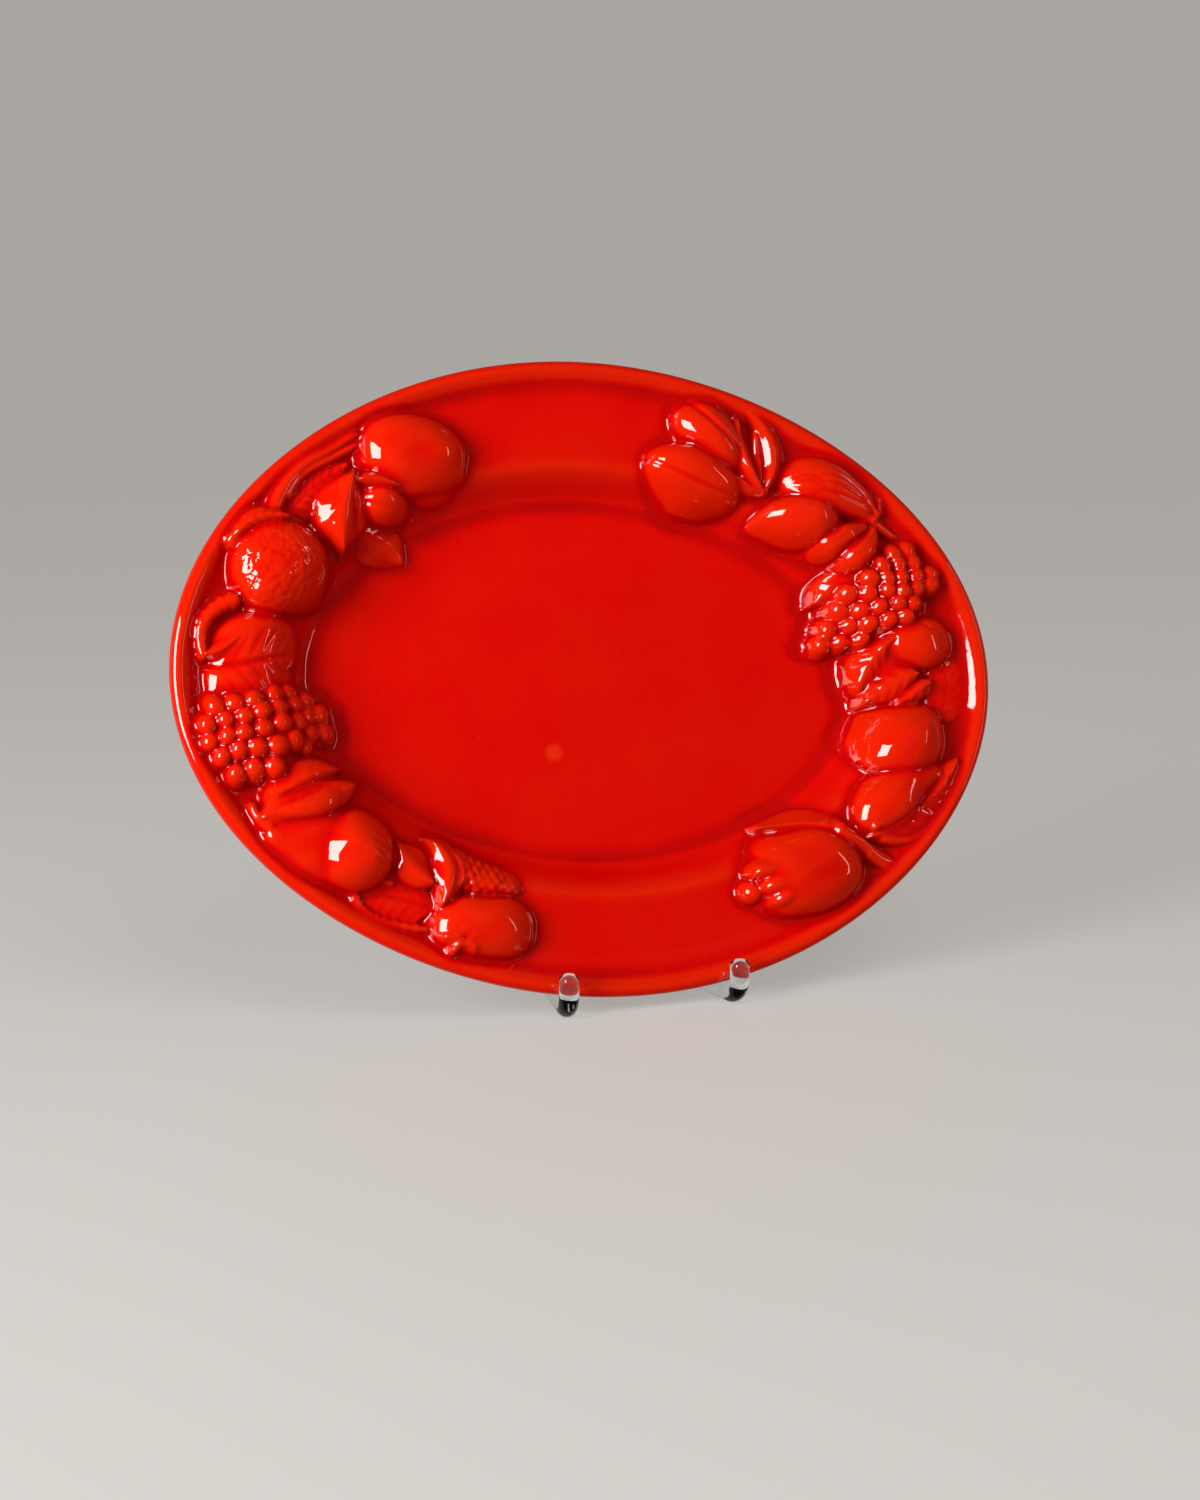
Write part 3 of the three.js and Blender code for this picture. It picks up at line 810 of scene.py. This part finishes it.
def stand_line():
    """Centre line of one rod in its own upright plane: hook, ground arm, strut."""
    hook = np.array([[0, 0, HOOK_HEIGHT - ROD_RADIUS * DOME_FLATTEN[0]]])
    front = bend_points(HOOK_BEND, ROD_RADIUS + HOOK_BEND, HOOK_BEND, math.pi, math.pi / 2)
    rear = bend_points(REAR_CORNER - REAR_BEND, ROD_RADIUS + REAR_BEND, REAR_BEND, -math.pi / 2,
                       math.pi / 2 + STRUT_LEAN)
    lean = np.array([0, -math.sin(STRUT_LEAN), math.cos(STRUT_LEAN)])
    return np.concatenate([hook, front, rear, [rear[-1] + lean * (STRUT_LENGTH - REAR_BEND)]])


def area_light(name, place, size, power, mirrored=True):
    """A lit rectangle that faces the plate's middle from a place given from there."""
    data = bpy.data.lights.new(name, "AREA")
    data.shape = "RECTANGLE"
    data.size, data.size_y = size
    data.energy = power
    lamp = bpy.data.objects.new(name, data)
    lamp.location = plate_centre + Vector(place)
    lamp.rotation_euler = (plate_centre - lamp.location).to_track_quat("-Z", "Y").to_euler()
    lamp.visible_glossy = mirrored
    bpy.context.scene.collection.objects.link(lamp)


# Garlands: places in millimetres right of and above the plate's middle, heights from the rim's plane
relief = Relief()

# Left garland, from the top down: peach, rim leaf, veined leaf, plum and the leaves round it
round_fruit(relief, (-87, 95.5), (22, 17), -8, 0, -12, square=2.3)
round_fruit(relief, (-92, 103), (26, 18.5), -8, 10, -8, dimple=((4, -3), 9.0, 1.0), square=2.7, full=2.1)
stalk(relief, ((-108, 86), (-90, 85), (-69, 94)), 3.4, 0.5, -0.5, soft=4.0)
leaf(relief, ((-159, 74), (-151, 96), (-117, 110)), 5.5, -2, -5, groove=0, veins=0)
stalk(relief, ((-159, 72), (-152, 94), (-119, 110)), 3.5, 2.0, -1.5, soft=0.6)
stalk(relief, ((-152, 80), (-145, 93), (-118, 105)), 2.4, 0, -2.5, soft=0.6)
stalk(relief, ((-151, 91), (-141, 102), (-120, 113)), 1.9, -1, -2.5, soft=0.6)
leaf(relief, ((-154, 69), (-140, 82), (-122, 97)), 9.5, -3, -6, veins=0.4, vein_gap=5.0, fullest=0.45)
leaf(relief, ((-121, 92), (-128, 76), (-124, 54)), 12.5, 4.5, -3.5, point=0.9, groove=0.5, veins=0.1)
crease(relief, ((-121, 86), (-121, 73), (-118, 60)), 1.5, 1.6)
leaf(relief, ((-122, 66), (-108, 66), (-92, 53)), 11, -5, -9, veins=0.1, point=0.6)
round_fruit(relief, (-105, 79), (14, 10.5), -14, 5.5, -9, furrow=(-2.5, 0, 1.0, 0.9))
leaf(relief, ((-120, 88), (-110, 90), (-98, 87)), 3.5, 4.5, 0, veins=0, groove=0.2)

# Orange with a sepal and a stub of stalk
round_fruit(relief, (-155, 46.5), (24.2, 23), 0, 12, -10, pits=170, square=2.15, full=2.4)
leaf(relief, ((-177, 57), (-169, 70), (-151, 69)), 5, 6.5, 1, veins=0.5, vein_gap=4, groove=0.2)
stalk(relief, ((-177, 57), (-174, 60), (-170, 63)), 3.4, 3)

# Vine leaf: a broad domed blade with a midrib, fine ribs and a rolled toothed edge
round_fruit(relief, (-166, 9), (22, 17), 14, 2.5, -10, square=2.5, soft=2.5)
round_fruit(relief, (-168, -6), (22, 13), 10, 1.5, -10, square=2.5, soft=2.5)
crease(relief, ((-190, -1), (-168, -1), (-146, 9)), 1.2, 1.1)
for k in range(6):
    root = (-184 + 6.5 * k, -1.5 + 1.4 * k)
    crease(relief, (root, (root[0] + 4, root[1] + 8), (root[0] + 9, root[1] + 15)), 0.9, 0.4)
    crease(relief, (root, (root[0] + 6, root[1] - 5), (root[0] + 11, root[1] - 13)), 0.9, 0.4)
leaf(relief, ((-189, 4), (-181, 6), (-174, 13)), 4, 2, -3, veins=0, groove=0, soft=0.6)
stalk(relief, ((-177, 30), (-196, 25), (-190, 4)), 3.5, 0.5, -1, teeth=0.13, soft=0.8)

# Left bunch of grapes, with its shaded end in the well
round_fruit(relief, (-167, -31), (25, 23), 12, 1.5, -12, square=2.4)
round_fruit(relief, (-138, -26), (14, 12), 0, -2, -14)
left_rows = [(-175, -50, 3), (-182, -42.5, 5), (-188, -35.5, 6), (-189, -28, 6), (-185, -19.5, 3),
             (-158, -13.5, 2)]
shaded_rows = [(-142, -36, 1), (-139, -30, 2), (-141, -22, 2), (-141, -15, 1)]
bunch(relief, left_rows, (8.3, 2.1), 4.75, (-168, -31), (26, 24), 7, 5)
bunch(relief, shaded_rows, (8.0, 1.6), 4.6, (-140, -24), (14, 14), 1.5, 4)

# Pear with its stalk, its wrinkled eye and two leaves over its neck, one of them rolled
long_fruit(relief, ((-165, -72), (-150, -79), (-103, -88)), (7, 11, 15, 18, 19, 18, 14),
           (0, 3, 5, 6.5, 6.5, 6.5, 4))
round_fruit(relief, (-119, -84.5), (19, 20), -10, 13.5, -9, soft=4.5)
stalk(relief, ((-160, -74), (-165, -72), (-168, -65)), 3.0, 3, 0)
round_fruit(relief, (-157, -79), (7.5, 6.5), -30, 4, -9, soft=2.5)
for k in range(3):
    crease(relief, ((-113, -79 - 5 * k), (-107, -84 - 4 * k), (-101, -84 - 3 * k)), 1.1, 1.2)
leaf(relief, ((-162, -66), (-150, -49), (-126, -46)), 8.5, 3, -2, veins=0.1, groove=0, soft=1.5)
leaf(relief, ((-165, -70), (-144, -66), (-119, -54)), 9, 5, 2.5, veins=0.15, groove=0, soft=0.5)
long_fruit(relief, ((-164, -69), (-145, -68), (-124, -57)), (2.5, 4.5, 6.5, 7, 4), (2, 6, 8.5, 8.5, 4),
           base=-2, soft=0.6)
crease(relief, ((-158, -60), (-146, -56), (-126, -52)), 1.0, 1.2)

# Flat toothed leaf with beaded edges, three folded sepals, berry, and apple with its crown
leaf(relief, ((-82, -110), (-102, -104), (-122, -108)), 13, -5, -5.5, veins=0.15, teeth=0.07,
     teeth_gap=4.5)
stalk(relief, ((-121, -103), (-119, -119), (-86, -120)), 2.4, -2.8, -3.2, teeth=0.3, soft=0.8)
stalk(relief, ((-121, -104), (-112, -99), (-103, -100)), 2.0, -2.8, -2.2, soft=0.8)
leaf(relief, ((-99, -80), (-95, -92), (-83, -100)), 8, 3, -4, veins=0, groove=0.9, cup=1.5)
leaf(relief, ((-84, -80), (-70, -90), (-80, -110)), 7.5, 4, -3, veins=0, groove=0.9, cup=1.5)
leaf(relief, ((-76, -84), (-66, -90), (-72, -101)), 6, 2.5, -3, veins=0, groove=0.6, cup=1.0)
long_fruit(relief, ((-72, -93), (-54, -98), (-36, -102)), (7, 8.5, 8, 5.5), (0, 1, -1, -5), base=-11)
berry_drupes(relief, (-70, -93), (-39, -102), 5, 7, 2.2, 1.2)
round_fruit(relief, (-59.5, -119.5), (25, 15.8), -2, 8, -8, dimple=((-10.5, -6), 2.2, 2.4), square=2.3)
for k in range(5):
    turn = math.radians(72 * k + 20)
    far = (-70 + 8 * math.cos(turn), -125.5 + 6 * math.sin(turn))
    near = (-70 + 2.5 * math.cos(turn), -125.5 + 2.5 * math.sin(turn))
    stalk(relief, (near, near, far), 1.8, 4.2, 4.0, soft=3.0)

# Right garland, from the top down: two nuts with a seam each, and the bracts that hold them
round_fruit(relief, (59, 120.5), (22.5, 14), -43, 8, -9, furrow=(2, 2.5, 1.3, 1.4), square=2.3, full=1.9)
round_fruit(relief, (50, 99), (26.5, 16), -19, 9.5, -10, furrow=(-3, 4, 1.1, 1.0))
leaf(relief, ((86, 94), (70, 108), (73, 129)), 5, 3, -4, veins=0, groove=0.8, cup=1.0)
leaf(relief, ((86, 93), (101, 116), (76, 135)), 5, 1.5, -4, veins=0, groove=0.8, cup=1.0)
leaf(relief, ((85, 95), (84, 110), (82, 124)), 4.5, -1, -5, veins=0, groove=0.5)
stalk(relief, ((73, 98), (80, 94), (88, 94)), 3.2, 0, -3)

# Almond in its husk with a leaf, then fig, two furrowed lobes and the twig that carries them
long_fruit(relief, ((94, 99), (120, 101), (147, 86)), (11, 14.5, 15, 11.5, 5), (1, 7.5, 9.5, 6, 1))
for bend in (7, 1, -6):
    crease(relief, ((113, 97 + 0.5 * bend), (126, 98 + bend), (144, 88)), 0.9, 1.0)
for swell in (5, 10):
    for way in (-1, 1):
        husk = ((100 - 0.5 * swell, 97), (106, 97 + way * swell), (111 + 0.5 * swell, 95))
        crease(relief, husk, 0.9, 0.9)
leaf(relief, ((126, 104), (150, 104), (148, 85)), 5.5, 0, -5, veins=0, groove=0.7)
stalk(relief, ((122, 98), (136, 96), (147, 86)), 1.6, 4.5, 0, soft=2.0)
long_fruit(relief, ((80, 77), (99, 82), (127, 80)), (2.5, 9, 13, 13.5, 9), (-6, 4, 10, 11, 6), base=-10)
for lobe in (((142, 80), (127, 74), (111, 64)), ((145, 80), (142, 66), (123, 56))):
    long_fruit(relief, lobe, (2, 5.5, 8.5, 9.5, 8), (0, 3.5, 6.5, 7.5, 4), soft=0.6)
    crease(relief, lobe, 0.9, 0.5)
stalk(relief, ((132, 88), (144, 84), (156, 74)), 3.0, 2, -4)
stalk(relief, ((144, 83), (150, 86), (150, 92)), 2.4, 0, -3)

# Right bunch of grapes with its leaf
round_fruit(relief, (147, 39), (30, 23), 38, 0, -12, square=2.4)
leaf(relief, ((142, 53), (130, 53), (116, 40)), 8, 1, -4, veins=0.2, cup=1.0)
right_rows = [(121, 21, 3), (124, 28.5, 5), (128, 36.5, 5), (131, 44, 6), (140, 51, 5), (147, 58.5, 3),
              (154, 65, 2)]
bunch(relief, right_rows, (8.6, 1.2), 4.8, (148, 40), (34, 30), 6.5, 5)

# Folded vine leaf and flat toothed leaf
round_fruit(relief, (149, 5), (14, 16), -25, 1, -10, square=2.3)
leaf(relief, ((153, 22), (142, 14), (138, -4)), 8, 4.5, -3, veins=0.3, groove=0.5, cup=1.0)
leaf(relief, ((166, 6), (152, 3), (140, -9)), 7.5, 3.5, -2, veins=0.3, groove=0.8, cup=1.0)
leaf(relief, ((173, 3), (164, -3), (154, -10)), 6, 1.5, -4, veins=0.3, groove=0.6)
leaf(relief, ((176, -17), (188, -3), (181, 15)), 12, -5.2, -5.9, point=0.5, teeth=0.07, teeth_gap=4,
     veins=0.12, groove=0.3, soft=0.5)

# Plum over the leaf, wrinkled at its top
round_fruit(relief, (167, 21.5), (20, 13.5), 4, 6, -8)
crease(relief, ((162, 28), (167, 32), (172, 28)), 0.9, 0.7)
crease(relief, ((168, 30), (173, 26), (179, 29)), 0.9, 0.7)

# Quince, great leaf with one convex half, twig, and pomegranate with its crown
round_fruit(relief, (157, -28), (24, 20.5), 10, 11.5, -10, square=2.2, full=2.0)
leaf(relief, ((137, -76), (170, -66), (186, -36)), 14, 0.5, -4.5, groove=0, veins=0.15, vein_gap=7,
     soft=1.4)
long_fruit(relief, ((136, -76), (147, -52), (180, -40)), (7, 13.5, 15.5, 11, 4), (-1, 6, 8.5, 5, 0))
stalk(relief, ((146, -77), (173, -83), (180, -48)), 2.3, -1.2, -2.5, soft=0.8)
stalk(relief, ((176, -47), (186, -43), (190, -32)), 2.6, -1, -4, soft=0.8)
stalk(relief, ((140, -71), (156, -61), (177, -43)), 1.6, 3.2, 0.5, soft=0.8)
crease(relief, ((144, -73), (160, -63), (179, -46)), 1.3, 1.3)
for k in range(3):
    root = (155 + 8 * k, -64 + 6 * k)
    crease(relief, (root, (root[0] + 5, root[1] - 2), (root[0] + 9, root[1] - 6)), 0.9, 0.5)
round_fruit(relief, (105, -93), (29, 22), 12, 11, -9, square=2.2, full=2.5)
leaf(relief, ((139, -82), (122, -65), (82, -72)), 8, 1.5, -7, veins=0, groove=0, soft=3.0)
stalk(relief, ((122, -72), (138, -84), (152, -90)), 3.8, 3, -3)
stalk(relief, ((138, -84), (144, -88), (151, -93)), 3.2, 0, -3)
round_fruit(relief, (76, -102), (7.5, 7), 20, 1.5, -13, soft=2.0)
for lobe in ((80, -92.5), (84.5, -99), (89, -106)):
    round_fruit(relief, lobe, (7.5, 4.5), 15, 7.5, -4, soft=4.5)
relief.fill_gaps()

# Plate, leaning in the stand
left_lo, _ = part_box("stand_rod_left")
_, right_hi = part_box("stand_rod_right")
stand_middle = Vector(((left_lo[0] + right_hi[0]) / 2, left_lo[1] + ROD_RADIUS * MM, left_lo[2]))
plate_centre = stand_middle + Vector((-STAND_OFFSET, PLATE_BACK, PLATE_UP)) * MM
stance = Matrix.Rotation(math.pi / 2 - TILT, 4, "X") @ Matrix.Rotation(-ROLL, 4, "Z")
placing = Matrix.Translation(plate_centre) @ stance
glaze = glaze_material(placing @ Vector(PAINTED_REFLECTION_AT))
points, faces, values = plate_mesh(relief)
plate = new_piece("plate_glazed", points * MM, faces, glaze, "plate")
# The crest value drives painted light on crests and painted shade in hollows; pitted drives the peel's bump
for column, name in enumerate(("crest", "pitted")):
    layer = plate.data.attributes.new(name, "FLOAT", "POINT")
    layer.data.foreach_set("value", values[:, column].astype(np.float32))
plate.data.transform(placing)
plate.data.update()

# Stand: the same bent rods and bars as the frame's, drawn round and smooth
clear = clear_material()
stand_at = np.array(stand_middle) / MM
rod_points, rod_faces = swept(*domed(stand_line()))
for side, node in ((-1, "stand_rod_left"), (1, "stand_rod_right")):
    c = math.cos(side * TOE_IN)
    s = math.sin(side * TOE_IN)
    x, y, z = rod_points.T
    set_points = np.stack([x * c - y * s + side * HOOK_SPREAD, x * s + y * c, z], -1) + stand_at
    new_piece(node + "_clear", set_points * MM, rod_faces, clear, node)
for node in ("stand_bar_low", "stand_bar_high"):
    lo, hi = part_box(node)
    middle = (np.array(lo) + np.array(hi)) / 2 / MM
    half = (hi[0] - lo[0]) / 2 / MM + FUSED
    line = middle + np.array([[-half, 0, 0], [half, 0, 0]])
    bar_points, bar_faces = swept(line, [ROD_RADIUS * BAR_SHARE] * 2)
    new_piece(node + "_clear", bar_points * MM, bar_faces, clear, node)

# Floor: pale, and not mirrored in the glaze
corners = [(x * FLOOR_HALF, y * FLOOR_HALF, 0) for x, y in ((-1, -1), (1, -1), (1, 1), (-1, 1))]
mesh = bpy.data.meshes.new("floor")
mesh.from_pydata(corners, [], [(0, 1, 2, 3)])
mesh.materials.append(pale_material("pale_floor", FLOOR_COLOUR, FLOOR_ROUGHNESS, FLOOR_GLOW))
floor = bpy.data.objects.new("floor", mesh)
bpy.context.scene.collection.objects.link(floor)
floor.visible_glossy = False

# Backdrop: a pale round wall far off, which only the camera and the clear stand see
turn = np.linspace(0, 2 * math.pi, BACKDROP_SIDES, endpoint=False)
ring = np.stack([BACKDROP_RADIUS * np.cos(turn), BACKDROP_RADIUS * np.sin(turn)], -1)
walls = [(x, y, z) for z in (0, BACKDROP_HEIGHT) for x, y in ring.tolist()]
after = [(k + 1) % BACKDROP_SIDES for k in range(BACKDROP_SIDES)]
panels = [(k, n, n + BACKDROP_SIDES, k + BACKDROP_SIDES) for k, n in enumerate(after)]
mesh = bpy.data.meshes.new("backdrop")
mesh.from_pydata(walls, [], panels)
mesh.materials.append(pale_material("pale_backdrop", BACKDROP_COLOUR, BACKDROP_ROUGHNESS, BACKDROP_GLOW))
backdrop = bpy.data.objects.new("backdrop", mesh)
bpy.context.scene.collection.objects.link(backdrop)
backdrop.visible_glossy = False
backdrop.visible_diffuse = False
backdrop.visible_shadow = False

# A tall window to the left, a thin strip to the right, and soft light from above that isn't mirrored
area_light("window", WINDOW_PLACE, WINDOW_SIZE, WINDOW_POWER)
area_light("strip", STRIP_PLACE, STRIP_SIZE, STRIP_POWER)
area_light("overhead", OVERHEAD_PLACE, OVERHEAD_SIZE, OVERHEAD_POWER, mirrored=False)

# Surroundings
world = bpy.data.worlds.new("studio")
bpy.context.scene.world = world
world.use_nodes = True
sky = world.node_tree
ray = add_node(sky, "ShaderNodeTexCoord").outputs["Generated"]
ways = add_node(sky, "ShaderNodeSeparateXYZ", [("Vector", ray)]).outputs
around = add_node(sky, "ShaderNodeValToRGB", [("Fac", ways["Y"])])
before, behind = around.color_ramp.elements
before.color = FRONT_COLOUR
behind.color = BEHIND_COLOUR
behind.position = BEHIND_FROM
climb = ranged(sky, ways["Z"], ABOVE_RANGE)
links = [("Factor", climb), ("A", around.outputs["Color"]), ("B", ABOVE_COLOUR)]
both = add_node(sky, "ShaderNodeMix", links, data_type="RGBA")
sky.links.new(both.outputs["Result"], sky.nodes["Background"].inputs["Color"])
bpy.context.scene.view_settings.view_transform = "Standard"

# Camera
camera_data = bpy.data.cameras.new("camera")
camera_data.lens = LENS
camera_data.sensor_width = SENSOR_WIDTH
camera = bpy.data.objects.new("camera", camera_data)
camera.location = plate_centre + CAMERA_FROM_PLATE
camera.rotation_euler = (math.pi / 2 - VIEW_DOWN, 0, -VIEW_AROUND)
bpy.context.scene.collection.objects.link(camera)
bpy.context.scene.camera = camera
